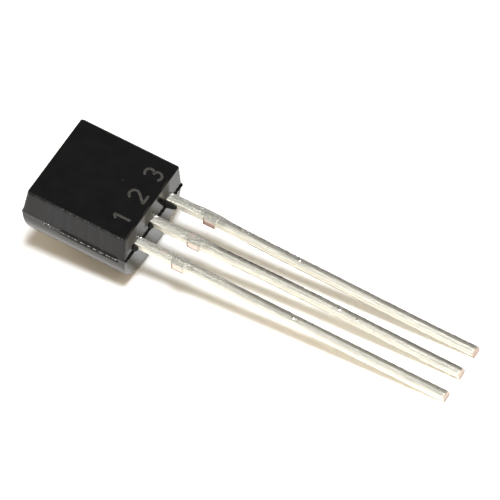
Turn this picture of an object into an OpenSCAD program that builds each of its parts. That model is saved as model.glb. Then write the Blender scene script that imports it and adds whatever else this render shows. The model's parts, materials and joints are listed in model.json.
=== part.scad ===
// Three-lead through-hole transistor in a TO-92 outline, lying on its rounded back.
// The modules are drawn in the package's own frame and laid down at the end of the file:
//   +X runs out along the leads, Y across the row of leads, +Z out of the flat marking face,
//   x = 0 is the end face that the leads leave by, z = 0 is the parting plane of the mould,
//   which is also the back surface of the leadframe.

/* [Moulded body] */
// Width of the flat marking face
face_w = 4.38; // [4.2:0.02:4.5]
// Width of the body at the parting plane, also the diameter of the round back
body_w = 4.64; // [4.54:0.02:5.1]
// Length of the marking face along the leads
face_l = 4.8; // [4.6:0.02:4.88]
// Length of the body at the parting plane
body_l = 5.06; // [4.92:0.02:5.2]
// Depth of the front mould half, from the parting plane to the marking face
front_depth = 1.46; // [1.4:0.02:1.6]
// Depth of the rear mould half, from the parting plane to the bottom of the round back
rear_depth = 2.58; // [2.54:0.02:2.62]
// Draft of the rear half's two ends, in degrees
rear_draft = 5; // [2:0.5:7]
// Radius where the round back turns into its ends
back_edge_r = 0.16; // [0.08:0.02:0.3]
// Radius that eases the front half's two upright corners at the end away from the leads
corner_r = 0.26; // [0.1:0.02:0.4]

/* [Mould marks] */
// How far the parting-line flash stands out of the two sides and the far end
flash_out = 0.04; // [0.02:0.01:0.06]
// How far the flash stands out of the end that the leads leave by
flash_exit = 0.08; // [0.02:0.01:0.12]
// Thickness of the parting-line flash
flash_t = 0.05; // [0.04:0.01:0.08]
// Height of the broken-off gate along the pin 1 side, from the parting plane down
gate_h = 0.24; // [0.1:0.02:0.24]
// Length of the broken-off gate
gate_l = 3.7; // [2:0.1:4]

/* [Leads] */
// Distance between neighbouring leads
pitch = 1.27; // [1.25:0.01:1.3]
// Width of a lead
lead_w = 0.45; // [0.41:0.01:0.5]
// Thickness of the leadframe strip
lead_t = 0.4; // [0.36:0.01:0.44]
// Length of the leads outside the body
lead_l = 14.76; // [12.7:0.1:16]
// Radius of the leads' long edges on the marking-face side
lead_edge_r = 0.06; // [0.03:0.01:0.08]
// Radius of the leads' long edges on the back, rolled over by the stamping die
lead_roll_r = 0.12; // [0.08:0.01:0.16]
// Distance from the body to the cut dam-bar stubs
stub_x = 1.78; // [1.4:0.02:2]
// Length of a dam-bar stub along the lead
stub_l = 0.6; // [0.5:0.05:0.8]
// How far the stub stands out on the pin 1 side of each lead
stub_out = 0.08; // [0.06:0.01:0.2]
// How far the flattened zone stands out on the other side
stub_back = 0.04; // [0.02:0.01:0.08]
// Length of the flattened zone around the stub
coined_l = 1.1; // [0.9:0.05:1.3]
// Thickness left in the flattened zone
coined_t = 0.36; // [0.28:0.01:0.38]

/* [Die and wires] */
// Side of the square silicon die
die_w = 0.8; // [0.5:0.05:1]
// Thickness of the die
die_t = 0.2; // [0.15:0.01:0.3]
// Thickness of the die-attach layer
attach_t = 0.03; // [0.02:0.01:0.05]
// Diameter of the bond wires
wire_d = 0.05; // [0.04:0.005:0.06]
// Distance across the leads from a wire's ball on the die to its stitch on the post
wire_span = 0.96; // [0.9:0.02:1.02]

/* [Hidden] */
$fn = 48;
over = 1;                       // how far a cutting solid runs past what it cuts
tip_roll = 0.07;                // roll-over of a lead's sheared tip

// Body: the round back is half a circle below a short straight wall
back_r = body_w / 2;
rear_wall = rear_depth - back_r;
face_setback = 0.02;            // the marking face starts this far behind the lead end
rear_run = rear_depth * tan(rear_draft);

// Mould marks that stay as they are
gate_end = 0.3;                 // the gate ends this far behind the face that the leads leave by
root_w = 0.2;                   // resin that bled out beside a lead's root: width at the body,
root_runs = [0.17, 0.14, 0.5];  // and length beside pins 1, 2 and 3

// Leadframe inside the resin
post_w = 0.8;                   // bond posts of the outer leads
post_l = 1.5;
post_x = -0.9;                  // where a post widens, behind the end face
pad_w = 1.3;                    // die pad of the middle lead
pad_l = 1.8;
pad_x = -1.5;
notch_r = 0.16;                 // resin lock cut in the die pad's free end
attach_w = die_w + 0.12;
die_x = pad_x - pad_l / 2 + 0.1;
die_z = lead_t + attach_t;

// Bond wires: ball on the die, half-circle arch, flattened stitch on the post
ball_r = 0.06;
ball_h = 0.04;
bond_x = die_x + 0.15;
bond_y = 0.25;
arch_z = die_z + die_t + 0.1;   // where a wire starts to turn over
stitch_l = 0.2;
stitch_t = 0.03;

// Rest: the back's lower edge at the lead end and the three tips touch one plane
edge_x = -rear_run - back_edge_r * (1 - tan(rear_draft));
edge_z = back_edge_r - rear_depth;
reach = lead_l - edge_x;
tilt = asin(back_edge_r / norm([reach, edge_z])) - atan2(edge_z, reach);
far_x = rear_run - body_l + back_edge_r * (1 - tan(rear_draft));
low_z = -lead_l * sin(tilt);
left = far_x * cos(tilt) + edge_z * sin(tilt) - back_edge_r;
right = lead_l * cos(tilt) + lead_t * sin(tilt);

// Lays a solid from the package frame down on the plane it rests on
module at_rest() {
    translate([-(left + right) / 2, 0, -low_z]) rotate([0, tilt, 0]) children();
}

// A shape drawn across the leads (y, z), carried along X from x0
module along_x(x0, length) {
    translate([x0, 0, 0]) rotate([90, 0, 90]) linear_extrude(length) children();
}

// A shape drawn from the side (x, z), carried across Y about the middle
module across_y(width) {
    rotate([90, 0, 0]) linear_extrude(width, center = true) children();
}

// Side outline of the front half: the far end leans in towards the face
module front_side() {
    polygon([[0, 0], [-face_setback, front_depth],
             [-face_setback - face_l, front_depth], [-body_l, 0]]);
}

// Side outline of the rear half: both ends lean in and turn round into the back
module rear_side() {
    low = -rear_depth;
    polygon([[0, 0], [-body_l, 0], [far_x - back_edge_r, edge_z], [far_x, low],
             [edge_x, low], [edge_x + back_edge_r, edge_z]]);
    for (x = [far_x, edge_x]) translate([x, edge_z]) circle(back_edge_r);
}

module front_half() {
    intersection() {
        along_x(-body_l - over, body_l + 2 * over)
            polygon([[-body_w / 2, 0], [body_w / 2, 0],
                     [face_w / 2, front_depth], [-face_w / 2, front_depth]]);
        across_y(body_w + over) front_side();
    }
}

module rear_half() {
    intersection() {
        union() {
            along_x(-body_l - over, body_l + 2 * over) intersection() {
                translate([0, -rear_wall]) circle(back_r, $fn = 96);
                translate([-body_w, -2 * body_w]) square([2 * body_w, 2 * body_w - rear_wall]);
            }
            along_x(-body_l - over, body_l + 2 * over)
                translate([-body_w / 2, -rear_wall]) square([body_w, rear_wall]);
        }
        across_y(body_w + over) rear_side();
    }
}

// What is taken off an upright corner of the front half at the far end: a bar with a round
// inner side, leaned with the draft. side is 1 or -1.
module corner_bar(side) {
    inset = 0.95 * corner_r;    // less than the radius, so the round meets the walls at an angle
    lean_y = atan((body_w - face_w) / 2 / front_depth);
    lean_x = atan((body_l - face_l - face_setback) / front_depth);
    translate([-body_l, side * body_w / 2, 0]) rotate([side * lean_y, lean_x, 0])
        mirror([0, side > 0 ? 1 : 0, 0]) difference() {
            translate([-over, -over, -over]) cube([over + inset, over + inset, front_depth + 2 * over]);
            translate([inset, inset, -2 * over]) cylinder(r = corner_r, h = front_depth + 4 * over);
        }
}

// Thin flash all round the parting plane, with square corners
module parting_flash() {
    translate([-body_l - flash_out, -body_w / 2 - flash_out, -flash_t / 2])
        cube([body_l + flash_out + flash_exit, body_w + 2 * flash_out, flash_t]);
}

// Where the resin's thin gate was snapped off, along the pin 1 side
module gate_scar() {
    translate([-gate_l - gate_end, -body_w / 2 - flash_out, -gate_h])
        cube([gate_l, 4 * flash_out, gate_h + flash_t / 2]);
}

// Resin that bled out beside a lead's root, tapering along the lead
module root_flash(y, length) {
    translate([0, y - lead_w / 2, 0]) linear_extrude(0.75 * lead_t)
        polygon([[-over, 0], [-over, -root_w], [0, -root_w],
                 [0.7 * length, -0.8 * root_w], [length, 0]]);
}

// Stamped plan of an outer lead inside the resin: neck and bond post
module post_plan() {
    translate([post_x, -lead_w / 2]) square([-post_x, lead_w]);
    translate([post_x - post_l, -lead_w / 2]) square([post_l, post_w]);
}

// Stamped plan of the middle lead inside the resin: neck and die pad with its lock notch
module pad_plan() {
    translate([pad_x, -lead_w / 2]) square([-pad_x, lead_w]);
    difference() {
        translate([pad_x - pad_l, -pad_w / 2]) square([pad_l, pad_w]);
        translate([pad_x - pad_l, 0]) circle(notch_r);
    }
}

module outer_frame(side) {
    mirror([0, side < 0 ? 1 : 0, 0]) translate([0, pitch, 0]) linear_extrude(lead_t) post_plan();
}

module middle_frame() {
    linear_extrude(lead_t) pad_plan();
}

// Section of a lead outside the resin: a rectangle with small round edges towards the
// marking face and larger ones on the back
module lead_section() {
    half = lead_w / 2;
    polygon([[-half + lead_roll_r, 0], [half - lead_roll_r, 0], [half, lead_roll_r],
             [half, lead_t - lead_edge_r], [half - lead_edge_r, lead_t],
             [-half + lead_edge_r, lead_t], [-half, lead_t - lead_edge_r], [-half, lead_roll_r]]);
    for (side = [-1, 1]) {
        translate([side * (half - lead_roll_r), lead_roll_r]) circle(lead_roll_r);
        translate([side * (half - lead_edge_r), lead_t - lead_edge_r]) circle(lead_edge_r);
    }
}

// A lead outside the body: round-edged shank, flattened zone and cut stub, rolled-over tip
module shank(y) {
    zone_x = stub_x + (stub_l - coined_l) / 2;
    coined_z = lead_t - coined_t;
    translate([0, y, 0]) {
        difference() {
            along_x(0, lead_l) lead_section();
            translate([zone_x, -over / 2, -over]) cube([coined_l, over, over + lead_t]);
            translate([lead_l, 0, lead_t]) rotate([0, 45, 0])
                cube([tip_roll * sqrt(2), over, tip_roll * sqrt(2)], center = true);
        }
        translate([zone_x, -lead_w / 2, coined_z])
            cube([coined_l, lead_w + stub_back, coined_t]);
        translate([stub_x, -lead_w / 2 - stub_out, coined_z])
            cube([stub_l, stub_out + lead_w / 2, coined_t]);
    }
}

module die_body() {
    translate([die_x - die_w / 2, -die_w / 2, die_z]) cube([die_w, die_w, die_t]);
}

module attach_body() {
    translate([die_x - attach_w / 2, -attach_w / 2, lead_t]) cube([attach_w, attach_w, attach_t]);
}

// A bond wire from the die to an outer post, standing across the leads at bond_x
module wire_body(side) {
    arch_r = wire_span / 2;
    mirror([0, side < 0 ? 1 : 0, 0]) translate([bond_x, bond_y, 0]) {
        translate([0, 0, die_z + die_t]) cylinder(r = ball_r, h = ball_h);
        translate([0, 0, die_z + die_t]) cylinder(d = wire_d, h = arch_z - die_z - die_t);
        translate([0, arch_r, arch_z]) rotate([90, 0, 90])
            rotate_extrude(angle = 180) translate([arch_r, 0]) circle(d = wire_d);
        translate([0, wire_span, lead_t]) cylinder(d = wire_d, h = arch_z - lead_t);
        translate([-wire_d, wire_span - wire_d, lead_t]) cube([2 * wire_d, stitch_l, stitch_t]);
    }
}

module moulded_body() {
    color([0.11, 0.11, 0.115]) difference() {
        union() {
            difference() {
                front_half();
                corner_bar(1);
                corner_bar(-1);
            }
            rear_half();
            parting_flash();
            gate_scar();
            for (pin = [0, 1, 2]) root_flash((pin - 1) * pitch, root_runs[pin]);
        }
        for (side = [-1, 1]) {
            outer_frame(side);
            wire_body(side);
        }
        for (y = [-pitch, 0, pitch]) shank(y);
        middle_frame();
        attach_body();
        die_body();
    }
}

module outer_lead(side) {
    color([0.80, 0.79, 0.74]) union() {
        outer_frame(side);
        shank(side * pitch);
    }
}

module middle_lead() {
    color([0.80, 0.79, 0.74]) union() {
        middle_frame();
        shank(0);
    }
}

module silicon_die() {
    color([0.36, 0.38, 0.44]) die_body();
}

module die_attach() {
    color([0.72, 0.72, 0.70]) attach_body();
}

module bond_wire(side) {
    color([0.85, 0.66, 0.30]) wire_body(side);
}

at_rest() moulded_body();
at_rest() outer_lead(-1);  // pin_1_lead
at_rest() middle_lead();  // pin_2_lead
at_rest() outer_lead(1);  // pin_3_lead
at_rest() silicon_die();
at_rest() die_attach();
at_rest() bond_wire(-1);  // bond_wire_1
at_rest() bond_wire(1);  // bond_wire_3
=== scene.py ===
import json
import math

import bpy
import numpy as np
from mathutils import Matrix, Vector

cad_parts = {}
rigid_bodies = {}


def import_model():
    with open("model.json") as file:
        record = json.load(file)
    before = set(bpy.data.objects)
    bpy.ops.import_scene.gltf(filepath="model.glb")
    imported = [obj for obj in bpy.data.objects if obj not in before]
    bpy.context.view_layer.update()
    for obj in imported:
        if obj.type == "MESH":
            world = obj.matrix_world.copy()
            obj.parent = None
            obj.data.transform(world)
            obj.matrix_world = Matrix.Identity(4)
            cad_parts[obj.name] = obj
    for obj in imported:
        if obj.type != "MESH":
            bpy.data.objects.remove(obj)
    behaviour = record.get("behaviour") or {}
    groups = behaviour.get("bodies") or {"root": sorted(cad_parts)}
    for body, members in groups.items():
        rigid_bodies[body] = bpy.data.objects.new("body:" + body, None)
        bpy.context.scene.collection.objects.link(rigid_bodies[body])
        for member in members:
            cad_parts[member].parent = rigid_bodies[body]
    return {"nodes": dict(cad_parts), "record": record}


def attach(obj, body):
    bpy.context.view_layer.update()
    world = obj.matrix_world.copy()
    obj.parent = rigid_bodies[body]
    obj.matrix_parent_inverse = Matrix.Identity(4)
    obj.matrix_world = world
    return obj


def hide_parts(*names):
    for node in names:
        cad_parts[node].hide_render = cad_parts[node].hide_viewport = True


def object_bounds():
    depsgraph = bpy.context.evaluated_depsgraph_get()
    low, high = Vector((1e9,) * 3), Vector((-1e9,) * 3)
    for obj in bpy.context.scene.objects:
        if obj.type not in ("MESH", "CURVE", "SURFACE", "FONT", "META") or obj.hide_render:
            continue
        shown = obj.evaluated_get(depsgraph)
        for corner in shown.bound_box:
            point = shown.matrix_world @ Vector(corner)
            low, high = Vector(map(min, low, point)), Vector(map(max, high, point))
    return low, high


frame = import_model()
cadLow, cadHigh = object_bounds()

mm = 0.001
print("frame loaded:", ", ".join(sorted(frame["nodes"])))

# The package's own frame, from the mount of the middle lead: alongLeads runs from the body to the
# tips, acrossLeads from pin 1 to pin 3, outOfFace out of the marking face. Every shape below is
# worked out in millimetres in that frame: x = 0 is the end the leads leave by, z = 0 the parting
# plane.
pitch = 1.27
leadWidth = 0.45
leadThickness = 0.4
middleMount = next(m for m in frame["record"]["mounts"] if m["name"] == "pin_2")
alongLeads = np.array(middleMount["axis"])
acrossLeads = np.array([0.0, 1.0, 0.0])
outOfFace = np.cross(alongLeads, acrossLeads)
packageStart = np.array(middleMount["pos_m"]) - outOfFace * 0.5 * leadThickness * mm


# Package millimetres to the frame's metres: x, y and z times the package's three directions, held
# inside the box of the CAD model
def laidDown(points):
    turned = points[..., :1] * alongLeads + points[..., 1:2] * acrossLeads \
        + points[..., 2:] * outOfFace
    return np.clip(packageStart + mm * turned, cadLow, cadHigh)


# Smooth random waves along t, from about -1 to 1: a sum of sines of about the given wavelength,
# with seeded rates and phases
def ripple(t, wavelength, seed, waves=9):
    rng = np.random.default_rng(seed)
    rate = 2 * np.pi / wavelength * rng.uniform(0.45, 1.7, waves)
    phase = rng.uniform(0, 2 * np.pi, waves)
    return np.sin(np.asarray(t)[..., None] * rate + phase).sum(-1) / math.sqrt(waves)


# The same over a surface: each sine runs across s and t in a direction of its own
def ripple2(s, t, wavelength, seed, waves=24):
    rng = np.random.default_rng(seed)
    rate = 2 * np.pi / wavelength * rng.uniform(0.5, 1.9, waves)
    turn, phase = rng.uniform(0, 2 * np.pi, (2, waves))
    total = np.zeros(np.broadcast(s, t).shape)
    for r, a, p in zip(rate, turn, phase):
        total += np.sin(r * (np.cos(a) * s + np.sin(a) * t) + p)
    return total / math.sqrt(waves)


# 0 up to start and 1 from end on, by 3 t squared less 2 t cubed between them
def smoothStep(x, start, end):
    t = np.clip((np.asarray(x) - start) / (end - start), 0, 1)
    return t * t * (3 - 2 * t)


# 1 between start and end, with soft shoulders of the given width inside them
def band(x, start, end, soft):
    return smoothStep(x, start, start + soft) * (1 - smoothStep(x, end - soft, end))


# 1 at a middle, falling away as the exponential of minus the squared distance in reaches
def bell(x, middle, reach):
    return np.exp(-((x - middle) / reach) ** 2)


# Evenly spread values between two ends, the ends themselves left out
def between(start, end, count):
    return np.linspace(start, end, count + 2)[1:-1]


# Distance along a path of points
def pathLength(path):
    return np.concatenate([[0], np.cumsum(np.hypot(*np.diff(path, axis=0).T))])


# A new object in the scene
def placed(name, data):
    made = bpy.data.objects.new(name, data)
    bpy.context.scene.collection.objects.link(made)
    return made


# A closed skin over a grid of points (rows along, columns around), in package millimetres. Its two
# end rows close in one pole each, at their middle, or the rows join up into a loop. The faces are
# turned over if the volume inside them comes out negative, so they point outwards.
def skin(name, points, masks=None, looped=False):
    rows, cols = points.shape[:2]
    index = np.arange(rows * cols).reshape(rows, cols)
    around = np.roll(index, -1, axis=1)
    below, belowAround = (np.roll(a, -1, axis=0) for a in (index, around))
    quads = np.stack([index, around, belowAround, below], -1)
    quads = quads if looped else quads[:-1]
    places = points.reshape(-1, 3)
    faces = quads.reshape(-1, 4).tolist()
    if not looped:
        first, last = rows * cols, rows * cols + 1
        places = np.vstack([places, points[0].mean(0), points[-1].mean(0)])
        faces += np.stack([np.full(cols, first), around[0], index[0]], -1).tolist()
        faces += np.stack([np.full(cols, last), index[-1], around[-1]], -1).tolist()
    corner = places[quads.reshape(-1, 4)]
    volume = sum((corner[:, 0] * np.cross(corner[:, a], corner[:, a + 1])).sum() for a in (1, 2))
    if volume < 0:
        faces = [f[::-1] for f in faces]
    mesh = bpy.data.meshes.new(name)
    mesh.from_pydata(laidDown(places).tolist(), [], faces)
    mesh.shade_smooth()
    own = mesh.attributes.new("package", "FLOAT_VECTOR", "POINT")
    own.data.foreach_set("vector", places.astype(np.float32).ravel())
    for label, values in (masks or {}).items():
        flat = values.reshape(-1)
        if not looped:
            flat = np.append(flat, [values[0].mean(), values[-1].mean()])
        own = mesh.attributes.new(label, "FLOAT", "POINT")
        own.data.foreach_set("value", flat.astype(np.float32))
    return placed(name, mesh)


# A node's sockets: a value is written on its socket, and another node's output is linked to it
def fill(tree, node, values):
    for key, value in values.items():
        if isinstance(value, bpy.types.NodeSocket):
            tree.links.new(value, node.inputs[key])
        else:
            node.inputs[key].default_value = value
    return node


# A shader node with its settings and its sockets
def put(tree, kind, values=None, **settings):
    node = tree.nodes.new("ShaderNode" + kind)
    for key, value in settings.items():
        setattr(node, key, value)
    return fill(tree, node, values or {})


# One Math node. MULTIPLY_ADD is a times b plus c.
def calc(tree, operation, a, b=0.0, c=0.0):
    return put(tree, "Math", {0: a, 1: b, 2: c}, operation=operation).outputs[0]


# A value carried from one range to another, held at its ends
def remap(tree, value, low, high, toLow=0.0, toHigh=1.0):
    return put(tree, "MapRange", {0: value, 1: low, 2: high, 3: toLow, 4: toHigh}).outputs[0]


# The first colour where share is 0, the second where it is 1. A written one is (red, green, blue).
def blendColour(tree, share, first, second):
    first, second = ((*c, 1.0) if isinstance(c, tuple) else c for c in (first, second))
    return put(tree, "Mix", {0: share, 6: first, 7: second}, data_type="RGBA").outputs[2]


# Bump from a height that changes over the surface, with its depth in metres
def relief(tree, height, depth):
    return put(tree, "Bump", {"Strength": 1.0, "Distance": depth, "Height": height}).outputs[0]


# A node group that takes a Vector and named values, which start as given, and gives named numbers
def nodeGroup(name, takes, gives):
    tree = bpy.data.node_groups.new(name, "ShaderNodeTree")
    tree.interface.new_socket("Vector", in_out="INPUT", socket_type="NodeSocketVector")
    for label, start in takes.items():
        kind = "NodeSocketVector" if isinstance(start, tuple) else "NodeSocketFloat"
        tree.interface.new_socket(label, in_out="INPUT", socket_type=kind).default_value = start
    for label in gives:
        tree.interface.new_socket(label, in_out="OUTPUT", socket_type="NodeSocketFloat")
    return tree, tree.nodes.new("NodeGroupInput").outputs, tree.nodes.new("NodeGroupOutput")


# A node group placed in a tree, with its values. Gives back its outputs.
def useGroup(tree, group, values):
    return fill(tree, put(tree, "Group", node_tree=group), values).outputs


# A new material with nothing in it but its Principled BSDF
def material(name):
    made = bpy.data.materials.new(name)
    made.use_nodes = True
    tree = made.node_tree
    tree.nodes.clear()
    surface = put(tree, "BsdfPrincipled")
    put(tree, "OutputMaterial", {"Surface": surface.outputs[0]})
    return made, tree, surface


# The outputs of a node that reads an attribute of the mesh
def attribute(tree, name):
    return put(tree, "Attribute", attribute_name=name, attribute_type="GEOMETRY").outputs


# Fine unevenness at two scales: Mottle for colour and roughness, Height for bump
def makeGrain():
    tree, take, result = nodeGroup("castGrain", {"Patch": 2.0, "Grain": 30.0}, ["Mottle", "Height"])
    patch = put(tree, "TexNoise", {"Vector": take["Vector"], "Scale": take["Patch"], "Detail": 4.0})
    grain = put(tree, "TexNoise", {"Vector": take["Vector"], "Scale": take["Grain"], "Detail": 3.0})
    height = calc(tree, "MULTIPLY_ADD", patch.outputs[0], 0.35, grain.outputs[0])
    fill(tree, result, {"Mottle": patch.outputs[0], "Height": height})
    return tree


# Lines drawn out along one direction: Stretch shrinks the pattern along each axis
def makeLines():
    tree, take, result = nodeGroup(
        "drawnLines", {"Stretch": (0.05, 1.0, 1.0), "Scale": 12.0}, ["Line"])
    drawn = put(tree, "VectorMath", {0: take["Vector"], 1: take["Stretch"]}, operation="MULTIPLY")
    noise = put(tree, "TexNoise", {"Vector": drawn.outputs[0], "Scale": take["Scale"],
                                   "Detail": 5.0, "Roughness": 0.62})
    fill(tree, result, {"Line": noise.outputs[0]})
    return tree


# Scattered small marks: 1 inside a mark, 0 outside. Amount is the share of cells that hold one.
def makeMarks():
    tree, take, result = nodeGroup(
        "scatteredMarks", {"Scale": 8.0, "Amount": 0.3, "Size": 0.25}, ["Mark"])
    cell = put(tree, "TexVoronoi", {"Vector": take["Vector"], "Scale": take["Scale"]})
    chance = put(tree, "SeparateColor", {0: cell.outputs["Color"]})
    chosen = calc(tree, "LESS_THAN", chance.outputs[0], take["Amount"])
    size = calc(tree, "MULTIPLY", take["Size"], chance.outputs[1])
    inside = remap(tree, cell.outputs["Distance"], size, 0.0)
    fill(tree, result, {"Mark": calc(tree, "MULTIPLY", chosen, inside)})
    return tree


castGrain, drawnLines, scatteredMarks = makeGrain(), makeLines(), makeMarks()


# Body. The uprights are the front half's upright edges, at the far and at the exit end. The long
# edges of the marking face have waves and chips of the given depths and lengths, and a bevel that
# fades out between two places along x. A painted reflection of a lead on the exit end is (middle
# across, half width).
body = dict(faceWidth=4.38, width=4.64, faceLength=4.80, length=5.06, frontDepth=1.46,
            rearDepth=2.58, faceSetback=0.02, rearDraft=5.0, topEdge=0.11, uprightFar=0.16,
            uprightExit=0.12, endEdge=0.05, rearRim=0.07, backEdge=0.09, edgeWaves=0.06,
            waveLengths=(0.7, 0.2), chips=0.10, chipLengths=(0.14, 0.55), bevel=0.05,
            bevelFades=(-4.1, -3.0), farSide=0.3, seed=11,
            leadReflections=[(-1.75, 0.42), (-0.42, 0.28), (1.04, 0.28)])


# Where the far and the exit end stand along x at height z: the front half leans in evenly up to
# the face, the rear half by the tangent of its draft for each millimetre down
def endPlanes(z):
    b = body
    up = np.clip(z / b["frontDepth"], 0, 1)
    down = np.clip(-z, 0, None) * math.tan(math.radians(b["rearDraft"]))
    lean = b["length"] - b["faceLength"] - b["faceSetback"]
    return -b["length"] + lean * up + down, -b["faceSetback"] * up - down


# Outline across the leads, with its outward normals: a quarter circle from the bottom round pin 3's
# side, an upright wall up to the parting plane, the leaning facet, a small round and half of the
# face, and then all of it mirrored on pin 1's side
def bodyOutline():
    b = body
    half, faceHalf, depth, r = b["width"] / 2, b["faceWidth"] / 2, b["frontDepth"], b["topEdge"]
    backPoints, wallPoints, facetPoints, edgePoints, topPoints = 62, 5, 36, 9, 49
    wall = b["rearDepth"] - half
    lean = math.atan2(half - faceHalf, depth)
    edgeY = (half * math.cos(lean) - r - (depth - r) * math.sin(lean)) / math.cos(lean)
    back = np.radians(np.linspace(-90, 0, backPoints))
    edge = np.linspace(lean, np.pi / 2, edgePoints)
    upFacet = between(0, 1, facetPoints)
    upWall = np.linspace(0, 1, wallPoints + 1)[1:]
    overTop = 1 - np.linspace(0, 1, topPoints + 1)[1:] ** 0.9
    startY, startZ = edgeY + r * math.cos(lean), depth - r + r * math.sin(lean)
    y = np.concatenate([half * np.cos(back), np.full(wallPoints, half),
                        half + (startY - half) * upFacet, edgeY + r * np.cos(edge),
                        edgeY * overTop])
    z = np.concatenate([half * np.sin(back) - wall, -wall * (1 - upWall), startZ * upFacet,
                        depth - r + r * np.sin(edge), np.full(topPoints, depth)])
    angle = np.concatenate([back, np.zeros(wallPoints), np.full(facetPoints, lean), edge,
                            np.full(topPoints, np.pi / 2)])
    points, normals = np.stack([y, z], 1), np.stack([np.cos(angle), np.sin(angle)], 1)
    left = slice(-2, 0, -1)
    mirrored = np.array([-1, 1])
    return (np.vstack([points, points[left] * mirrored]),
            np.vstack([normals, normals[left] * mirrored]))


# The outline is carried from the far end to the exit end. At each end it turns over a rim, by a
# quarter circle of the rim's own size at each point, and shrinks to a pole in the end face.
def makeBody():
    b = body
    outline, normal = bodyOutline()
    heart = np.array([0.0, -0.4])  # the rims and the end faces shrink towards this point
    reach = ((outline - heart) * normal).sum(1)
    top, bottom = np.clip(normal[:, 1], 0, 1) ** 2, np.clip(-normal[:, 1], 0, 1) ** 2
    side = normal[:, 0] ** 2
    front = smoothStep(outline[:, 1], -0.05, 0.05)
    capRows = 1 - between(0, 1, 29)
    bend = np.radians(np.linspace(0, 90, 8))
    run = between(0, 1, 176)

    # how large the rim is at each point: a blend of its sizes by where the outline faces
    def rimSize(upright):
        sideRim = b["rearRim"] + (upright - b["rearRim"]) * front
        return b["endEdge"] * top + sideRim * side + b["backEdge"] * bottom

    # the outline drawn in by inset along its normals, and shrunk towards the heart
    def section(inset, shrink=1.0):
        scale = (1 - inset / reach) * shrink
        return heart + (outline - heart) * scale[:, None]

    # rows in an end face, each the rim's inner edge shrunk further
    def cap(rim, end, shrinks):
        flat = np.stack([section(rim, s) for s in shrinks])
        return np.dstack([endPlanes(flat[..., 1])[end], flat])

    # a quarter circle from the end face to the wall: sine of the angle across, cosine along
    def rimRows(rim, end, angles, inward):
        flat = np.stack([section(rim * (1 - math.sin(a))) for a in angles])
        x = endPlanes(flat[..., 1])[end] + inward * rim * (1 - np.cos(angles))[:, None]
        return np.dstack([x, flat])

    rimFar, rimExit = rimSize(b["uprightFar"]), rimSize(b["uprightExit"])
    farRim = rimRows(rimFar, 0, bend, 1)
    exitRim = rimRows(rimExit, 1, bend[::-1], -1)
    flat = np.broadcast_to(outline, (len(run),) + outline.shape)
    x = farRim[-1, :, 0] + (exitRim[0, :, 0] - farRim[-1, :, 0]) * run[:, None]
    points = np.concatenate([cap(rimFar, 0, capRows[::-1]), farRim, np.dstack([x, flat]), exitRim,
                             cap(rimExit, 1, capRows)])
    # 1 along the walls, fading over the rims to 0 in the end faces
    onCap, onRim = np.zeros(len(capRows)), np.sin(bend)
    wall = np.concatenate([onCap, onRim, np.ones(len(run)), onRim[::-1], onCap])[:, None]
    wearAndSheen = wearEdges(points, outline, normal, wall)
    upright = smoothStep(np.abs(normal[:, 0]), 0.8, 0.97) * front * wall
    # painted reflections of the three leads: brown spots high on the front half of the exit end
    leadReflection = np.zeros(wearAndSheen.shape)
    for middle, halfWidth in b["leadReflections"]:
        spot = np.exp(-((points[..., 1] - middle) / halfWidth) ** 4)
        spot = spot * smoothStep(points[..., 2], 0.35, 0.6) * (points[..., 0] > -0.1)
        leadReflection = np.maximum(leadReflection, spot)
    return skin("resinBody", points, {"wearAndSheen": wearAndSheen, "upright": upright, "leadReflection": leadReflection})


# Moves the long edges of the marking face inwards along their normals, by waves, chips and a bevel,
# and less on pin 3's side. Gives back a mask of wear and painted highlight on those edges: more
# where a chip is gone.
def wearEdges(points, outline, normal, wall):
    b, seed, along = body, body["seed"], points[..., 0]
    edge = np.clip(1 - np.abs(normal[:, 1] - 0.70) / 0.29, 0, 1) * (outline[:, 1] > 1)
    (fine, coarse), (longWave, shortWave) = b["chipLengths"], b["waveLengths"]
    chip = np.clip(ripple(along, fine, seed) + ripple(along, coarse, seed + 1) - 0.7, 0, 1.6)
    wave = 0.5 + 0.4 * ripple(along, longWave, seed + 2) + 0.3 * ripple(along, shortWave, seed + 3)
    wave = b["edgeWaves"] * np.clip(wave, 0, 1.5)
    bevel = b["bevel"] * (1 - smoothStep(along, *b["bevelFades"]))
    bySide = np.where(outline[:, 0] < 0, 1.0, b["farSide"])
    inward = (wave + bevel + b["chips"] * chip) * bySide * edge * wall ** 0.3
    points[..., 1] -= inward * normal[:, 0]
    points[..., 2] -= inward * normal[:, 1]
    return np.clip(edge * (0.25 + 0.45 * chip), 0, 1) * wall


resinBody = makeBody()
print("body:", len(resinBody.data.polygons), "faces")

# Flash: a thin, uneven blade all round the parting line, which stands out farther at the exit end
flash = dict(sideOut=0.024, exitOut=0.08, uneven=0.3, rootThickness=0.05, tipThickness=0.02,
             corner=0.11, lift=0.006, inside=0.06, endPoints=418, sidePoints=438, seed=21)


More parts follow.
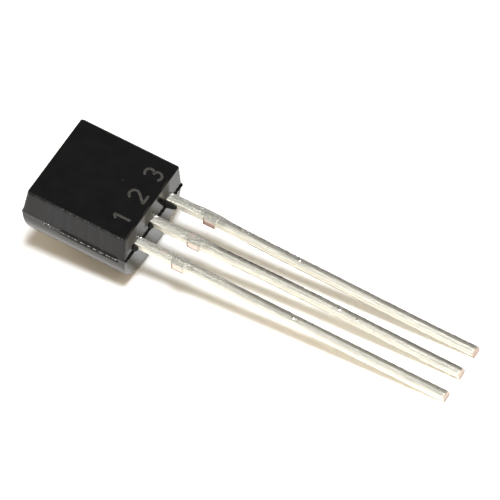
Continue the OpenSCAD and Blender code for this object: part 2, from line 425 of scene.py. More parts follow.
# A loop of four straights and four quarter circles round the body. The section (share of the
# stand-out, height) begins inside the resin and stands out along the loop's normals.
def makeFlash():
    f, seed = flash, flash["seed"]
    half, length, corner = body["width"] / 2, body["length"], f["corner"]
    reachX, reachY = length / 2 - corner, half - corner
    turn = np.radians(between(0, 90, 12))
    loop = []
    # direction and outward side of the exit end, pin 3's side, the far end and pin 1's side
    runs = [((0, 1), (1, 0)), ((-1, 0), (0, 1)), ((0, -1), (-1, 0)), ((1, 0), (0, -1))]
    for (dx, dy), (ox, oy) in runs:
        t = between(-1, 1, f["endPoints"] if ox else f["sidePoints"])
        level = np.zeros(len(t))
        loop.append([dx * t * reachX + ox * length / 2, dy * t * reachY + oy * half,
                     level + ox, level + oy])
        cx, cy = ox * np.cos(turn) + dx * np.sin(turn), oy * np.cos(turn) + dy * np.sin(turn)
        loop.append([(dx + ox) * reachX + corner * cx, (dy + oy) * reachY + corner * cy, cx, cy])
    x, y, nx, ny = np.concatenate(loop, axis=1)
    x = x - length / 2
    run = pathLength(np.stack([x, y], 1))
    exitShare = smoothStep(nx, 0.2, 0.9)
    frayed = np.clip(ripple(run, 0.35, seed) + 0.6 * ripple(run, 0.09, seed + 1), -1, 1)
    out = f["sideOut"] + (f["exitOut"] - f["sideOut"]) * exitShare
    out = out * (1 - f["uneven"] * (0.5 + 0.5 * frayed))
    root, tip, start = f["rootThickness"] / 2, f["tipThickness"] / 2, -f["inside"]
    share, height = np.array([
        (start, -root), (0.0, -root), (0.6, -0.5 * (root + tip)), (0.93, -tip), (1.0, 0.0),
        (0.93, tip), (0.6, 0.5 * (root + tip)), (0.0, root), (start, root)]).T
    stand = np.where(share > 0, out[:, None] * share, share)
    lift = f["lift"] * ripple(run, 0.8, seed + 2)
    thicker = 1 + 0.2 * ripple(run, 0.2, seed + 3)
    grid = np.dstack([x[:, None] + nx[:, None] * stand, y[:, None] + ny[:, None] * stand,
                      lift[:, None] + height * thicker[:, None]])
    # painted highlight: the flash is painted pale on the sides and the far end, for the bright line
    # it catches there, and left dark at the exit end
    wearAndSheen = np.broadcast_to(0.95 * (1 - exitShare)[:, None], stand.shape)
    return skin("partingFlash", grid, {"wearAndSheen": wearAndSheen.copy()}, looped=True)


partingFlash = makeFlash()
print("flash:", len(partingFlash.data.polygons), "faces")

# Gate: where the resin's runner was snapped off pin 1's side, two ledges with broken resin between
# them. The lower ledge only begins at doubleFrom.
gate = dict(start=-4.05, end=-0.33, doubleFrom=-3.15, out=0.037, drop=0.285, grain=0.006,
            breaks=0.55, seed=41)


# A section (height as a share of drop, stand-out as a share of out) is carried along the side. Its
# crest is broken away by random waves along x, and what stands out is roughened.
def makeGate():
    g, seed = gate, gate["seed"]
    x = np.linspace(g["start"], g["end"], 900)
    section = np.array([(0.20, -1.6), (0.16, 0.0), (0.10, 0.6), (-0.10, 1.0), (-0.28, 0.96),
                        (-0.36, 0.45), (-0.48, 0.4), (-0.56, 0.8), (-0.72, 0.7), (-0.9, 0.0),
                        (-0.9, -1.6)])
    length = pathLength(section)
    t = np.linspace(0, length[-1], 44)
    height, stand = (np.interp(t, length, section[:, k]) for k in (0, 1))
    proud = stand > 0
    crest, ledge = bell(height, -0.22, 0.11) * proud, bell(height, -0.68, 0.12) * proud
    ends = smoothStep(x, g["start"], g["start"] + 0.12)
    ends = ends * (1 - smoothStep(x, g["end"] - 0.15, g["end"]))
    double = smoothStep(x, g["doubleFrom"] - 0.15, g["doubleFrom"] + 0.15)[:, None]
    broken = np.clip(0.5 + g["breaks"] * ripple(x, 0.16, seed), 0, 1)[:, None]
    along, across, ends = x[:, None], height[None, :], ends[:, None]
    keep = 1 - 0.55 * crest * (1 - broken) - (0.9 - 0.7 * double) * ledge
    out = stand * np.where(proud, keep * ends, 1)
    coarse = ripple2(along, across * 0.3, 0.07, seed + 1) * proud
    side = -body["width"] / 2 - g["out"]
    y = -body["width"] / 2 - g["out"] * np.clip(out, -1.6, 1.0) - g["grain"] * coarse * ends
    y = np.maximum(y, side - 0.002)
    slope = 0.28 * double * (across > 0.15)
    waver = 0.006 * ripple(x, 0.5, seed + 2)[:, None]
    z = g["drop"] * (across * (0.9 + 0.1 * double) + slope) + waver
    points = np.dstack([np.broadcast_to(along, y.shape), y, z])
    # pale specks of broken filler, painted near white as the glints they catch: dashes along the
    # crest, and single ones where the lower ledge hasn't begun
    dashes = 1.1 * ripple(x, 0.20, seed + 3) + 0.8 * ripple(x, 0.09, seed + 5) + 0.35
    dashes = np.clip(dashes, 0, 1)[:, None] * np.clip(1.3 * crest, 0, 1)
    single = (1 - double) * np.clip(ripple2(along, across * 0.3, 0.16, seed + 4) - 1.1, 0, 1)
    speckAndGlint = np.clip(dashes * double + 2 * single + 0.10 * (1 - double), 0, 1)
    return skin("brokenGate", points, {"speckAndGlint": speckAndGlint})


brokenGate = makeGate()
print("gate:", len(brokenGate.data.polygons), "faces")

# Root flash: resin that bled out beside each lead's root on pin 1's side, from a little inside the
# lead and below the parting plane
tongue = dict(height=0.33, inside=0.04, below=0.02)
tongues = {
    "rootFlashOne": dict(middle=-pitch, length=0.17, width=0.20, seed=51),
    "rootFlashTwo": dict(middle=0.0, length=0.14, width=0.15, seed=52),
    "rootFlashThree": dict(middle=pitch, length=0.50, width=0.15, seed=53),
}


# The power of a value's size, with the value's own sign
def signedPower(values, power):
    return np.sign(values) * np.abs(values) ** power


# A rounded box section shrinks along X: its width falls with the 0.4th power of what is left of the
# tongue's length, and its height with the square root of that
def makeTongue(name, own):
    evenly, closing = np.linspace(-0.2, 0.7, 26)[:-1], np.sin(np.linspace(0, np.pi / 2, 16))
    x = own["length"] * np.concatenate([evenly, 0.7 + 0.3 * closing])
    left = np.clip(1 - x / own["length"], 1e-5, 1)  # never quite 0, so the last ring stays open
    size = np.where(x > 0, left ** 0.4, 1.0) * (1 + 0.05 * ripple(x, 0.12, own["seed"]))
    size = np.clip(size, 0, 1)[:, None]
    around = np.linspace(0, 2 * np.pi, 49)[:-1]
    across, upward = -signedPower(np.cos(around), 0.6), signedPower(np.sin(around), 0.7)
    start = own["middle"] - 0.5 * leadWidth + tongue["inside"]
    y = start - (own["width"] * size + tongue["inside"]) * 0.5 * (1 - across)
    z = 0.5 * tongue["height"] * (1 + upward * size ** 0.5) - tongue["below"]
    return skin(name, np.dstack([np.broadcast_to(x[:, None], y.shape), y, z]))


rootFlashes = [makeTongue(name, own) for name, own in tongues.items()]
print("root flash:", sum(len(o.data.polygons) for o in rootFlashes), "faces")


# Section of a bar along X, with its outward normals. Every size is a function of x. The upper edges
# are quarter circles of radius upper, the lower ones of radius lower. The top is flat, but over a
# share of its width it falls to the right edge, by rolled times the 1.5th power of the way across
# that share, where the stamping drew it down.
def barSection(left, right, low, high, upper, lower, rolled, share):
    sizes = np.broadcast_arrays(left, right, low, high, upper, lower, rolled, share)
    left, right, low, high, upper, lower, rolled, share = (size[:, None] for size in sizes)
    parts = []

    # a quarter circle about a middle, from the start angle on
    def corner(y, z, radius, start):
        a = np.linspace(start, start + np.pi / 2, 7)
        parts.append((y + radius * np.cos(a), z + radius * np.sin(a), np.cos(a), np.sin(a)))

    # even steps from one edge to the next, ends left out, all facing one way
    def flat(y0, z0, y1, z1, ny, nz, count):
        t = between(0, 1, count)
        parts.append((y0 + (y1 - y0) * t, z0 + (z1 - z0) * t,
                      np.full(count, ny), np.full(count, nz)))

    corner(right - upper, high - rolled - upper, upper, 0)
    t = between(0, 1, 21)
    fall = np.clip(1 - t / share, 0, 1) ** 1.5
    parts.append((right - upper + (left - right + 2 * upper) * t, high - rolled * fall,
                  np.zeros(len(t)), np.ones(len(t))))
    corner(left + upper, high - upper, upper, np.pi / 2)
    flat(left, high - upper, left, low + lower, -1.0, 0.0, 7)
    corner(left + lower, low + lower, lower, np.pi)
    flat(left + lower, low, right - lower, low, 0.0, -1.0, 5)
    corner(right - lower, low + lower, lower, 1.5 * np.pi)
    flat(right, low + lower, right, high - rolled - upper, 1.0, 0.0, 7)
    y, z = (np.concatenate([part[k] for part in parts], axis=1) for k in (0, 1))
    return y, z, np.stack([np.concatenate([part[k] for part in parts]) for k in (2, 3)], 1)


# Leads. The stub is what is left of the dam bar, in the middle of a flattened zone. A bead of tin
# is (x, y from the lead's middle, radius).
lead = dict(length=14.76, upperEdge=0.05, lowerEdge=0.12, stubEdge=0.03, rolled=0.052, ragged=0.20,
            stubStart=1.78, stubLength=0.6, stubOut=0.08, zoneBack=0.03, zoneLength=1.1,
            zoneThickness=0.36, zoneSunk=0.012, tipRoll=0.14, uneven=0.004, nicks=0.014,
            dents=0.0022, grain=0.0012, rootBead=(0.06, 0.165, 0.045), beadHeight=0.03,
            lineHeight=0.11, lineWidth=0.045)
zoneStart = lead["stubStart"] + (lead["stubLength"] - lead["zoneLength"]) / 2
zoneEnd = zoneStart + lead["zoneLength"]
stubEnd = lead["stubStart"] + lead["stubLength"]

# inner: where the wide part inside the resin ends, its length, and its left and right side. sway,
# rollShare and paintedShade are stops (x, value) for the shift sideways, the share of the top that
# is rolled down and how much painted shade darkens that share. roll turns the section, in degrees.
# scuffed: from and to where the edges are nicked most. beatenUntil: where the uneven top near the
# root ends. grey: how matte the top's tin is past there, which also paints the tops of pins 1 and 2
# darker than pin 3's as shade. darkening: how strong the dark line low on pin 1's side is. bare:
# how
# brown the cut copper is. rubbed: copper shows on the top, (x, y, reach along, reach across).
# scratches: short dark marks on pin 1's side, (x, z, reach along, reach up).
leads = {
    "pin_1_lead": dict(
        name="pinOneLead", middle=-pitch, inner=(-0.9, 1.5, -0.575, 0.225), seed=31, roll=3.5,
        sway=[(0, 0.0), (14.76, 0.0)],
        scuffed=(2.6, 4.6), beatenUntil=4.4, grey=0.25, sheared=0.1, bare=0.1,
        rollShare=[(0, 0.45)], paintedShade=[(4.6, 0), (5.2, 0.27), (6.9, 0.27), (7.4, 0)],
        beads=[(7.5, 0.0, 0.05)],
        rubbed=[(1.30, 0.04 - pitch, 0.16, 0.07)], scratches=[]),
    "pin_2_lead": dict(
        name="pinTwoLead", middle=0.0, inner=(-1.5, 1.8, -0.65, 0.65), seed=32, roll=3.5,
        sway=[(0, -0.025), (3, 0.0), (5.5, 0.045), (8, 0.05), (14.76, 0.0)],
        scuffed=(6.0, 7.6), beatenUntil=3.1, grey=0.6, sheared=0.9, bare=0.0,
        rollShare=[(0, 0.46)],
        paintedShade=[(2.7, 0), (3.1, 0.8), (6.3, 0.8), (7.2, 0.35), (7.75, 0.6), (8.7, 0.1),
                  (9.3, 0.4)],
        beads=[(8.92, 0.09, 0.06), (9.8, -0.03, 0.035)],
        rubbed=[(1.84, 0.09, 0.19, 0.10)], scratches=[(1.08, 0.09, 0.12, 0.025)]),
    "pin_3_lead": dict(
        name="pinThreeLead", middle=pitch, inner=(-0.9, 1.5, -0.225, 0.575), seed=33, roll=7.0,
        sway=[(0, 0.0), (1, 0.05), (3.4, 0.033), (4.6, 0.0), (8.2, -0.025), (13, -0.065),
              (14.76, -0.04)],
        scuffed=(3.3, 7.5), beatenUntil=2.8, grey=0.0, sheared=1.0, bare=0.85,
        rollShare=[(6, 0.56), (8, 0.47)], paintedShade=[(0, 0), (14.76, 0)],
        beads=[(3.52, 0.13, 0.03), (3.66, 0.17, 0.03), (3.80, 0.12, 0.03), (6.31, 0.04, 0.05)],
        rubbed=[], scratches=[]),
}


# A value that runs straight from stop to stop
def stopsAlong(x, stops):
    return np.interp(x, *zip(*stops))


# Places of the sections along a lead: evenly spread, and closer where its shape changes
def leadRows(own):
    postEnd, postLength = own["inner"][:2]
    tipStart = lead["length"] - lead["tipRoll"]
    changes = [postEnd, 0, zoneStart, lead["stubStart"], stubEnd, zoneEnd]
    close = np.concatenate([change + np.linspace(-0.06, 0.06, 13) for change in changes])
    tip = lead["length"] - lead["tipRoll"] * (1 - np.sin(np.linspace(0, np.pi / 2, 9)))
    x = np.concatenate([np.linspace(postEnd - postLength, tipStart, 760), close, tip])
    return np.unique(np.round(x, 5))


# The section is carried along x. It widens into the post inside the resin, thins in the flattened
# zone, stands out at the stub and rolls over at the tip by the square of the way into it. It is
# then turned by its roll, shifted by its sway (averaged over swayRows rows) and roughened along
# its normals, and the beads stand on its top as bells.
def leadForm(own):
    p, seed, half = lead, own["seed"], leadWidth / 2
    postEnd, _, postLeft, postRight = own["inner"]
    x = leadRows(own)
    post = 1 - smoothStep(x, postEnd - 0.03, postEnd + 0.03)
    zone = band(x, zoneStart - 0.12, zoneEnd + 0.12, 0.2)
    stub = band(x, p["stubStart"] - 0.02, stubEnd + 0.02, 0.035)
    outside = smoothStep(x, 0.0, 0.12)
    scuffed = band(x, *own["scuffed"], 0.4)
    beaten = 1 - smoothStep(x, own["beatenUntil"] - 0.5, own["beatenUntil"] + 0.5)

    # how far a side stands out: long waves less the nicks, where random waves pass 0.9
    def wobble(n):
        nick = np.clip(ripple(x, 0.12, seed + n + 1) - 0.9, 0, 1.2) * (0.3 + 2.4 * scuffed)
        return outside * (p["uneven"] * ripple(x, 0.6, seed + n) - p["nicks"] * nick)

    left = -half + (postLeft + half) * post - wobble(0) - p["stubOut"] * stub
    right = half + (postRight - half) * post + wobble(10) + p["zoneBack"] * zone
    low = (leadThickness - p["zoneThickness"]) * zone * (1 - 0.7 * stub)
    intoTip = np.clip(1 - (p["length"] - x) / p["tipRoll"], 0, 1)
    high = leadThickness - 0.7 * p["tipRoll"] * intoTip ** 2 - p["zoneSunk"] * zone * (1 - stub)
    lower = p["lowerEdge"] * (1 - 0.5 * zone) * (1 - stub) + p["stubEdge"] * stub
    lower = lower * outside + 0.02 * (1 - outside)
    rolled = p["rolled"] * outside * (1 - 0.7 * beaten)
    ragged = 1 + p["ragged"] * ripple(x, 0.08, seed + 8) * outside
    share = stopsAlong(x, own["rollShare"]) * ragged
    y, z, normals = barSection(left, right, low, high, p["upperEdge"], lower, rolled, share)

    swayRows = 91
    padded = np.pad(stopsAlong(x, own["sway"]), swayRows // 2, mode="edge")
    sway = np.convolve(padded, np.ones(swayRows) / swayRows, mode="valid") * outside
    turn = np.radians(own["roll"]) * (outside * (1 - zone) * (1 - 0.8 * beaten))[:, None]
    level = z - 0.5 * leadThickness
    y, z = (y * np.cos(turn) - level * np.sin(turn),
            0.5 * leadThickness + y * np.sin(turn) + level * np.cos(turn))
    y = y + own["middle"] + sway[:, None]
    along = np.broadcast_to(x[:, None], y.shape)
    dents = p["dents"] * ripple2(along, y * 1.5, 0.15, seed + 5) * beaten[:, None]
    grain = p["grain"] * ripple2(along * 0.25, y * 3, 0.2, seed + 6)
    rough = (dents + grain) * outside[:, None]
    upward = normals[:, 1] > 0
    points = np.dstack([along, y + rough * normals[:, 0], z + rough * normals[:, 1] * upward])
    dome = np.zeros(along.shape)
    for beadX, beadY, size in [p["rootBead"]] + own["beads"]:
        away = np.hypot(along - beadX, y - own["middle"] - beadY) / size
        dome = np.maximum(dome, np.exp(-away ** 2) * upward)
    points[..., 2] += p["beadHeight"] * dome
    across = np.clip((y - own["middle"] - sway[:, None]) / leadWidth + 0.5, 0, 1)
    return dict(points=points, normals=normals, x=x, y=y, z=z, low=low, across=across, share=share,
                rolled=rolled, beaten=beaten, zone=zone, dome=dome)


# Where each finish lies, from 0 to 1, by ramps and bells along the lead and round its section: cut
# copper, how bare it is and its brown edges, partly painted shade, the flattened zone, dark marks
# and painted shade, matte tin with painted shade across the top, tin beads painted white as a
# glint, and the fallen share of the top
def leadFinish(own, form):
    p, seed = lead, own["seed"]
    x, y, z, normals = (form[k] for k in ("x", "y", "z", "normals"))
    along, across, beaten = x[:, None], form["across"], form["beaten"][:, None]
    left, upward = normals[:, 0] < -0.5, normals[:, 1] > 0

    # the stub's cut face is browner at both ends and along its lower edge; at the end nearer the
    # body the brown is painted shade, where the stub steps out from the lead
    facing = np.clip(-normals[:, 0] * 5 - 2, 0, 1)
    cut = band(along, p["stubStart"] + 0.01, stubEnd - 0.01, 0.03) * facing
    brown = 1.5 * bell(along, p["stubStart"], 0.06) + 0.9 * bell(along, stubEnd, 0.04) \
        + 1.5 * bell(z, form["low"][:, None], 0.065)
    brownEdge = np.clip(brown, 0, 1) * cut
    # the plating is rubbed thin over the rolled edge of the tip, and off the top in places
    cut = np.maximum(cut, 0.75 * smoothStep(along, p["length"] - 0.15, p["length"] - 0.05))
    bare = own["bare"] * (1 - 0.7 * smoothStep(z, 0.25, 0.32))
    for markX, markY, reachX, reachY in own["rubbed"]:
        away = np.hypot((along - markX) / reachX, (y - markY) / reachY)
        spot = np.clip(1.4 - away, 0, 1) * (normals[:, 1] > 0.5)
        cut = np.maximum(cut, spot * (0.7 + 0.3 * ripple2(along, y, 0.06, 61)))
        bare = np.where(spot > 0, 0.2, bare)

    fallen = smoothStep(across, 1 - form["share"][:, None], 0.95) * upward
    fallen = fallen * (form["rolled"] / p["rolled"])[:, None]
    # painted shade: the top is painted more matte and grey towards pin 3's side of each lead, where
    # it turns from the light; the sides a little
    onTop = np.where(normals[:, 1] > 0.3, np.clip(0.3 + 1.3 * across, 0, 1), 0.12)
    dullAndShade = (own["grey"] + (1 - own["grey"]) * beaten) * onTop
    # a dark line low on pin 1's side of the lead
    line = bell(z, p["lineHeight"], p["lineWidth"]) * left
    strength = np.clip(0.85 + 0.3 * ripple(along, 0.9, seed + 3), 0.2, 1)
    strength = own["sheared"] * smoothStep(along, 3.4, 4.2) * strength
    # painted shade: where the stops say, the fallen share is painted dark for the shade along that
    # edge
    dark = np.clip(1 + 0.25 * ripple(along, 0.3, seed + 7), 0.4, 1.3)
    dark = stopsAlong(along, own["paintedShade"]) * dark
    sheared = np.maximum(line * strength, fallen * dark)
    for markX, markZ, reachX, reachZ in own["scratches"]:
        mark = np.exp(-((along - markX) / reachX) ** 4 - ((z - markZ) / reachZ) ** 2) * left
        sheared = np.maximum(sheared, 2.0 * mark)
    zone = np.broadcast_to(form["zone"][:, None], z.shape)
    return dict(cut=cut, brownEdge=brownEdge, bare=bare, coined=zone, sheared=sheared, dullAndShade=dullAndShade,
                beadGlint=np.clip(2 * form["dome"], 0, 1), fallen=fallen)


# The form and its finish, with both ends closed by rings that shrink towards the middle. The outer
# end is cut copper, browner at its rim.
def makeLead(own):
    form = leadForm(own)
    rings = 1 - between(0, 1, 6)

    # rings that shrink evenly from a section towards its middle
    def closing(row):
        centre = row.mean(0)
        return centre + (row - centre) * rings[:, None, None]

    points = form["points"]
    grid = np.concatenate([closing(points[0])[::-1], points, closing(points[-1])])
    more = ((len(rings), len(rings)), (0, 0))
    finish = {key: np.pad(mask, more) for key, mask in leadFinish(own, form).items()}
    cutEnd = slice(-len(rings) - 1, None)
    finish["cut"][cutEnd] = 1
    finish["bare"][cutEnd] = 0.5
    finish["brownEdge"][cutEnd] = np.array([0.6, 0.45, 0.3, 0.25, 0.25, 0.25, 0.25])[:, None]
    for key in ("cut", "sheared"):
        finish[key] = np.clip(finish[key], 0, 1)
    return skin(own["name"], grid, finish)


leadPieces = {node: makeLead(own) for node, own in leads.items()}
print("leads:", sum(len(o.data.polygons) for o in leadPieces.values()), "faces")


# Pin numbers: paths with x to the right and y up, in figure heights
numerals = dict(height=0.78, stroke=0.12, raised=0.006, fromExit=0.34)


# Part of a circle, from one angle in degrees to another
def arc(cx, cy, radius, start, end, steps=26):
    turn = np.radians(np.linspace(start, end, steps))
    return np.stack([cx + radius * np.cos(turn), cy + radius * np.sin(turn)], 1)


# Even steps from one point to another
def straight(x0, y0, x1, y1, steps=22):
    t = np.linspace(0, 1, steps)[:, None]
    return np.array([[x0, y0]]) * (1 - t) + np.array([[x1, y1]]) * t


figures = {
    "pinFigureOne": (-pitch, [straight(-0.18, 0.78, 0.06, 1.0), straight(0.06, 0.96, 0.06, 0.0)]),
    "pinFigureTwo": (0.0, [arc(0.0, 0.72, 0.28, 160, -38), straight(0.19, 0.5, -0.27, 0.02),
                           straight(-0.24, 0.0, 0.3, 0.0)]),
    "pinFigureThree": (pitch, [arc(-0.02, 0.745, 0.255, 150, -80),
                               arc(-0.02, 0.265, 0.265, 80, -150)]),
}


# A flat stroke with sloping shoulders is carried along the path, square to the line between each
# point's two neighbours, and sunk a little into the face
def makeFigure(name, middle, paths):
    n = numerals
    path = np.vstack(paths) * n["height"]
    path = path[np.concatenate([[True], np.hypot(*np.diff(path, axis=0).T) > 1e-4])]
    ahead = np.gradient(path, axis=0)
    ahead /= np.linalg.norm(ahead, axis=1)[:, None]
    aside = np.stack([-ahead[:, 1], ahead[:, 0]], 1)
    across, height = np.array([(-1.0, -2.0), (-1.0, 0.5), (-0.8, 1.0), (0.8, 1.0), (1.0, 0.5),
                               (1.0, -2.0)]).T
    flat = path[:, None, :] + aside[:, None, :] * (0.5 * n["stroke"] * across)[None, :, None]
    x = -body["faceSetback"] - n["fromExit"] - flat[..., 1]
    y = middle + flat[..., 0]
    z = body["frontDepth"] + n["raised"] * np.broadcast_to(height, x.shape)
    return skin(name, np.dstack([x, y, z]))


pinFigures = [makeFigure(name, *own) for name, own in figures.items()]
print("marks:", sum(len(o.data.polygons) for o in pinFigures), "faces")

# Materials. Their patterns read the package's own millimetres.
resinGloss = 1.43  # index of refraction


# Moulded resin: near black, with lines that the mould dragged up the front half's sides, pale where
# the edges are chipped and on the flash, as wear and as painted highlight, brown painted
# reflections of the three leads on the exit end, and a few specks of dust
def resinMaterial():
    made, tree, surface = material("epoxyResin")
    place = attribute(tree, "package")["Vector"]
    wearAndSheen, upright, leadReflection = (attribute(tree, k)["Fac"] for k in ("wearAndSheen", "upright", "leadReflection"))
    grain = useGroup(tree, castGrain, {"Vector": place, "Patch": 1.6, "Grain": 16.0})
    drag = useGroup(tree, drawnLines, {"Vector": place, "Stretch": (1.0, 0.3, 0.08), "Scale": 3.6})
    dust = useGroup(tree, scatteredMarks, {"Vector": place, "Scale": 1.6, "Amount": 0.3,
                                           "Size": 0.075})
    dragged = calc(tree, "MULTIPLY", remap(tree, drag["Line"], 0.42, 0.60), upright)
    tone = blendColour(tree, grain["Mottle"], (0.0020, 0.0026, 0.0034), (0.0092, 0.0096, 0.0104))
    tone = blendColour(tree, dragged, tone, (0.030, 0.031, 0.037))
    # wear and painted highlight: chipped edges and the flash's sides and far end lighter grey
    tone = blendColour(tree, wearAndSheen, tone, (0.13, 0.14, 0.15))
    tone = blendColour(tree, dust["Mark"], tone, (0.35, 0.34, 0.32))
    # painted reflection: brown spots on the exit end where the leads are reflected
    tone = blendColour(tree, leadReflection, tone, (0.010, 0.008, 0.006))
    rearHalf = remap(tree, put(tree, "SeparateXYZ", {0: place}).outputs["Z"], 0.08, -0.08)
    rough = calc(tree, "MULTIPLY_ADD", grain["Mottle"], 0.08, 0.12)
    for mask, rougher in ((upright, 0.42), (dragged, 0.12), (wearAndSheen, 0.5), (leadReflection, 0.35),
                          (rearHalf, 0.03)):
        rough = calc(tree, "MULTIPLY_ADD", mask, rougher, rough)
    height = calc(tree, "MULTIPLY_ADD", dragged, 0.8, grain["Height"])
    fill(tree, surface, {"Base Color": tone, "Roughness": rough, "IOR": resinGloss,
                         "Normal": relief(tree, height, 0.0000025)})
    return made


# Resin where it broke: greyer and rougher than the moulded skin, with pale specks of its filler,
# painted near white as the glints they catch
def brokenResinMaterial():
    made, tree, surface = material("brokenResin")
    place = attribute(tree, "package")["Vector"]
    grain = useGroup(tree, castGrain, {"Vector": place, "Patch": 9.0, "Grain": 30.0})
    tone = blendColour(tree, grain["Mottle"], (0.002, 0.002, 0.002), (0.007, 0.007, 0.0075))
    # pale filler and painted highlight: the specks are near white, as glints
    tone = blendColour(tree, attribute(tree, "speckAndGlint")["Fac"], tone, (0.85, 0.85, 0.88))
    fill(tree, surface, {"Base Color": tone, "IOR": resinGloss,
                         "Roughness": calc(tree, "MULTIPLY_ADD", grain["Mottle"], 0.3, 0.65),
                         "Normal": relief(tree, grain["Height"], 0.000008)})
    return made


# Figures burnt into the resin: grainy grey
def figureMaterial():
    made, tree, surface = material("burntFigure")
    place = attribute(tree, "package")["Vector"]
    grain = useGroup(tree, castGrain, {"Vector": place, "Patch": 7.0, "Grain": 22.0})
    speckled = remap(tree, grain["Height"], 0.45, 0.95)
    tone = blendColour(tree, speckled, (0.012, 0.0115, 0.011), (0.10, 0.094, 0.086))
    fill(tree, surface, {"Base Color": tone,
                         "Roughness": calc(tree, "MULTIPLY_ADD", grain["Mottle"], 0.2, 0.5),
                         "Normal": relief(tree, grain["Height"], 0.000004)})
    return made


# Drawn and tinned copper: pale warm tin with fine lines along the lead, greyer and crystalline
# where it is matte, with pits, a dark line on pin 1's side and a gritty fallen edge. Painted light:
# shade graded across the top and along the fallen edge, a cool tint on that edge for the colour it
# reflects, and white glints on the beads. Cut faces show copper.
def tinMaterial():
    made, tree, surface = material("tinPlatedLead")
    place = attribute(tree, "package")["Vector"]
    cut, brownEdge, bare, coined, sheared, dullAndShade, beadGlint, fallen = (
        attribute(tree, name)["Fac"]
        for name in ("cut", "brownEdge", "bare", "coined", "sheared", "dullAndShade", "beadGlint", "fallen"))
    lines = useGroup(tree, drawnLines, {"Vector": place, "Stretch": (0.05, 1.0, 1.0), "Scale": 9.0})
    grain = useGroup(tree, castGrain, {"Vector": place, "Patch": 3.0, "Grain": 13.0})
    crystals = useGroup(tree, castGrain, {"Vector": place, "Patch": 10.0, "Grain": 22.0})
    grit = useGroup(tree, drawnLines, {"Vector": place, "Stretch": (0.4, 1.0, 1.0), "Scale": 13.0})
    pits = useGroup(tree, scatteredMarks, {"Vector": place, "Scale": 6.0, "Amount": 0.22,
                                           "Size": 0.30})
    tin = blendColour(tree, remap(tree, lines["Line"], 0.35, 0.65), (0.86, 0.83, 0.73),
                      (0.98, 0.95, 0.84))
    speckle = remap(tree, crystals["Mottle"], 0.37, 0.68)
    patchy = remap(tree, grain["Mottle"], 0.5, 0.75, 0.0, 0.3)
    patchy = calc(tree, "MULTIPLY_ADD", dullAndShade, 0.55, patchy)
    patchy = calc(tree, "MULTIPLY_ADD", coined, 0.4, patchy)
    tin = blendColour(tree, calc(tree, "MULTIPLY", patchy, speckle), tin, (0.46, 0.47, 0.43))
    scored = calc(tree, "MULTIPLY", remap(tree, lines["Line"], 0.47, 0.41), dullAndShade)
    tin = blendColour(tree, scored, tin, (0.60, 0.60, 0.55))
    # painted reflection: the fallen share is tinted cool white instead of cream, for the colour of
    # the dim sky it reflects
    tin = blendColour(tree, fallen, tin, (0.96, 0.98, 1.0))
    gritty = calc(tree, "MULTIPLY", remap(tree, grit["Line"], 0.50, 0.42, 0.0, 0.75), fallen)
    tin = blendColour(tree, gritty, tin, (0.34, 0.34, 0.34))
    # dark pits, the dark line, scratches and the painted shade on the fallen share
    dark = calc(tree, "MAXIMUM", calc(tree, "MULTIPLY", pits["Mark"], 0.5), sheared)
    tin = blendColour(tree, dark, tin, (0.17, 0.15, 0.13))
    copper = blendColour(tree, bare, (0.98, 0.85, 0.78), (0.42, 0.26, 0.20))
    tone = blendColour(tree, cut, tin, copper)
    # browner edges: on the stub partly painted shade, and at the tip's rim
    tone = blendColour(tree, brownEdge, tone, (0.22, 0.13, 0.11))
    # painted highlight: the tin beads are painted pure white, as glints
    tone = blendColour(tree, beadGlint, tone, (1.0, 1.0, 1.0))
    rough = calc(tree, "MULTIPLY_ADD", lines["Line"], 0.16, 0.36)
    for mask, rougher in ((dullAndShade, 0.08), (cut, 0.15), (beadGlint, -0.3)):
        rough = calc(tree, "MULTIPLY_ADD", mask, rougher, rough)
    height = calc(tree, "MULTIPLY", grain["Height"], calc(tree, "MULTIPLY_ADD", dullAndShade, 0.7, 0.3))
    for pattern, depth in ((lines["Line"], 0.5), (pits["Mark"], -0.6)):
        height = calc(tree, "MULTIPLY_ADD", pattern, depth, height)
    fill(tree, surface, {"Base Color": tone, "Metallic": 1.0, "Roughness": rough,
                         "Normal": relief(tree, height, 0.00002)})
    return made


# The CAD parts sealed in the resin keep their shape and are only finished, with fine lines between
# a dark and a light tone. Their patterns read Object coordinates, in metres.
def sealedMaterial(name, dark, light, metallic, roughness, scale, stretch, depth):
    made, tree, surface = material(name)
    place = put(tree, "TexCoord").outputs["Object"]
    lines = useGroup(tree, drawnLines, {"Vector": place, "Stretch": stretch, "Scale": scale})
    grain = useGroup(tree, castGrain, {"Vector": place, "Patch": 0.5 * scale, "Grain": 3 * scale})
    tone = blendColour(tree, remap(tree, lines["Line"], 0.35, 0.65), dark, light)
    fill(tree, surface, {"Base Color": tone, "Metallic": metallic,
                         "Roughness": calc(tree, "MULTIPLY_ADD", grain["Mottle"], 0.2, roughness),
                         "Normal": relief(tree, grain["Height"], depth)})
    return made


resin, tin = resinMaterial(), tinMaterial()
brokenResin, burntFigure = brokenResinMaterial(), figureMaterial()
finishes = [(resin, [resinBody, partingFlash]), (brokenResin, [brokenGate, *rootFlashes]),
            (burntFigure, pinFigures)]
for finish, pieces in finishes:
    for piece in pieces:
        piece.data.materials.append(finish)
        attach(piece, "root")
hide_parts("moulded_body")
for node, piece in leadPieces.items():
    piece.data.materials.append(tin)
    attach(piece, "root")
    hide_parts(node)

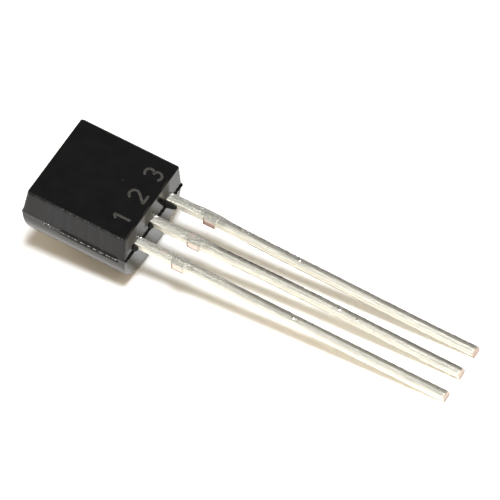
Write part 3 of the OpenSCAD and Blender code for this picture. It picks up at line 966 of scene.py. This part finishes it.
goldWire = sealedMaterial("goldWire", (0.70, 0.46, 0.14), (0.92, 0.68, 0.28), metallic=1.0,
                          roughness=0.18, scale=30000, stretch=(1.0, 0.2, 0.2), depth=0.0000005)
sealed = {
    "silicon_die": sealedMaterial(
        "sawnSilicon", (0.16, 0.18, 0.24), (0.34, 0.36, 0.42), metallic=0.6, roughness=0.15,
        scale=9000, stretch=(1.0, 0.2, 1.0), depth=0.0000005),
    "die_attach": sealedMaterial(
        "silverPaste", (0.42, 0.42, 0.40), (0.68, 0.68, 0.66), metallic=0.4, roughness=0.45,
        scale=16000, stretch=(1.0, 1.0, 1.0), depth=0.000002),
    "bond_wire_1": goldWire,
    "bond_wire_3": goldWire,
}
for node, finish in sealed.items():
    for holder in frame["nodes"][node].material_slots:
        holder.material = finish
print("materials:", len(bpy.data.materials))


# Floor: white paper, four metres across
def makeFloor():
    mesh = bpy.data.meshes.new("floor")
    mesh.from_pydata([(-2, -2, 0), (2, -2, 0), (2, 2, 0), (-2, 2, 0)], [], [(0, 1, 2, 3)])
    floor = placed("floor", mesh)
    made, tree, surface = material("whitePaper")
    seen = put(tree, "LightPath")  # the paper looks whiter than it lights
    shown = calc(tree, "MAXIMUM", seen.outputs["Is Camera Ray"], seen.outputs["Is Glossy Ray"])
    tone = blendColour(tree, shown, (0.95, 0.95, 0.95), (1.3, 1.3, 1.3))
    fill(tree, surface, {"Base Color": tone, "Roughness": 0.8, "Specular IOR Level": 0.0})
    floor.data.materials.append(made)


makeFloor()


# Directions of something that looks at the origin from an azimuth, which starts at -Y and turns
# towards +X, and an elevation: back from the part by their sines and cosines, level right, and up
def looking(azimuth, elevation):
    a, e = math.radians(azimuth), math.radians(elevation)
    back = np.array([math.sin(a) * math.cos(e), -math.cos(a) * math.cos(e), math.sin(e)])
    right = np.array([math.cos(a), math.sin(a), 0.0])
    return back, right, np.cross(back, right)


# Puts an object in the scene at a place, with its own X, Y and Z along right, up and back
def stand(name, data, right, up, back, place):
    made = placed(name, data)
    columns = np.stack([right, up, back, place], 1)
    made.matrix_world = Matrix(np.vstack([columns, [0, 0, 0, 1]]).tolist())
    return made


# Area lights that face the part: a key from high on the right and three wide, dim, warm fills.
# Distances and sizes are in metres, power in watts.
warm = (1.0, 0.785, 0.49)
lights = {
    "key": dict(azimuth=59.6, elevation=71.4, distance=0.5, size=(0.088, 0.088), power=1.98,
                colour=(0.92, 0.96, 1.0)),
    "rightFill": dict(azimuth=90, elevation=42, distance=0.6, size=(0.5, 0.4), power=0.65,
                      colour=warm),
    "leftFill": dict(azimuth=-80, elevation=34, distance=0.6, size=(0.4, 0.3), power=0.54,
                     colour=warm),
    "nearFill": dict(azimuth=-5, elevation=34, distance=0.6, size=(0.6, 0.3), power=0.51,
                     colour=warm),
}
for name, own in lights.items():
    data = bpy.data.lights.new(name, "AREA")
    data.shape = "RECTANGLE"
    data.size, data.size_y = own["size"]
    data.energy, data.color = own["power"], own["colour"]
    back, right, up = looking(own["azimuth"], own["elevation"])
    stand(name, data, right, up, back, back * own["distance"])

# World: white to the camera, a dim warm grey to everything else
world = bpy.data.worlds.new("studio")
bpy.context.scene.world = world
world.use_nodes = True
sky = world.node_tree
sky.nodes.clear()
seen = put(sky, "LightPath")
shade = blendColour(sky, seen.outputs["Is Camera Ray"], (0.16, 0.15, 0.135), (1.0, 1.0, 1.0))
backdrop = put(sky, "Background", {"Color": shade, "Strength": 1.0})
put(sky, "OutputWorld", {"Surface": backdrop.outputs[0]})

# Camera: aim and distance in millimetres
view = dict(azimuth=41.14, elevation=51.08, roll=-12.97, aim=(-0.430, 0.678, 2.159), distance=200.0,
            lens=346.8, sensor=36.0)


# A long lens that looks at the aim from the given direction, rolled about the line of sight
def makeCamera():
    back, level, upright = looking(view["azimuth"], view["elevation"])
    r = math.radians(view["roll"])
    right = math.cos(r) * level + math.sin(r) * upright
    up = math.cos(r) * upright - math.sin(r) * level
    place = (np.array(view["aim"]) + back * view["distance"]) * mm
    data = bpy.data.cameras.new("camera")
    data.lens, data.sensor_width = view["lens"], view["sensor"]
    data.clip_start, data.clip_end = 0.001, 20.0
    bpy.context.scene.camera = stand("camera", data, right, up, back, place)


makeCamera()
bpy.context.scene.view_settings.view_transform = "Standard"
print("floor, camera and lights:", ", ".join(lights))
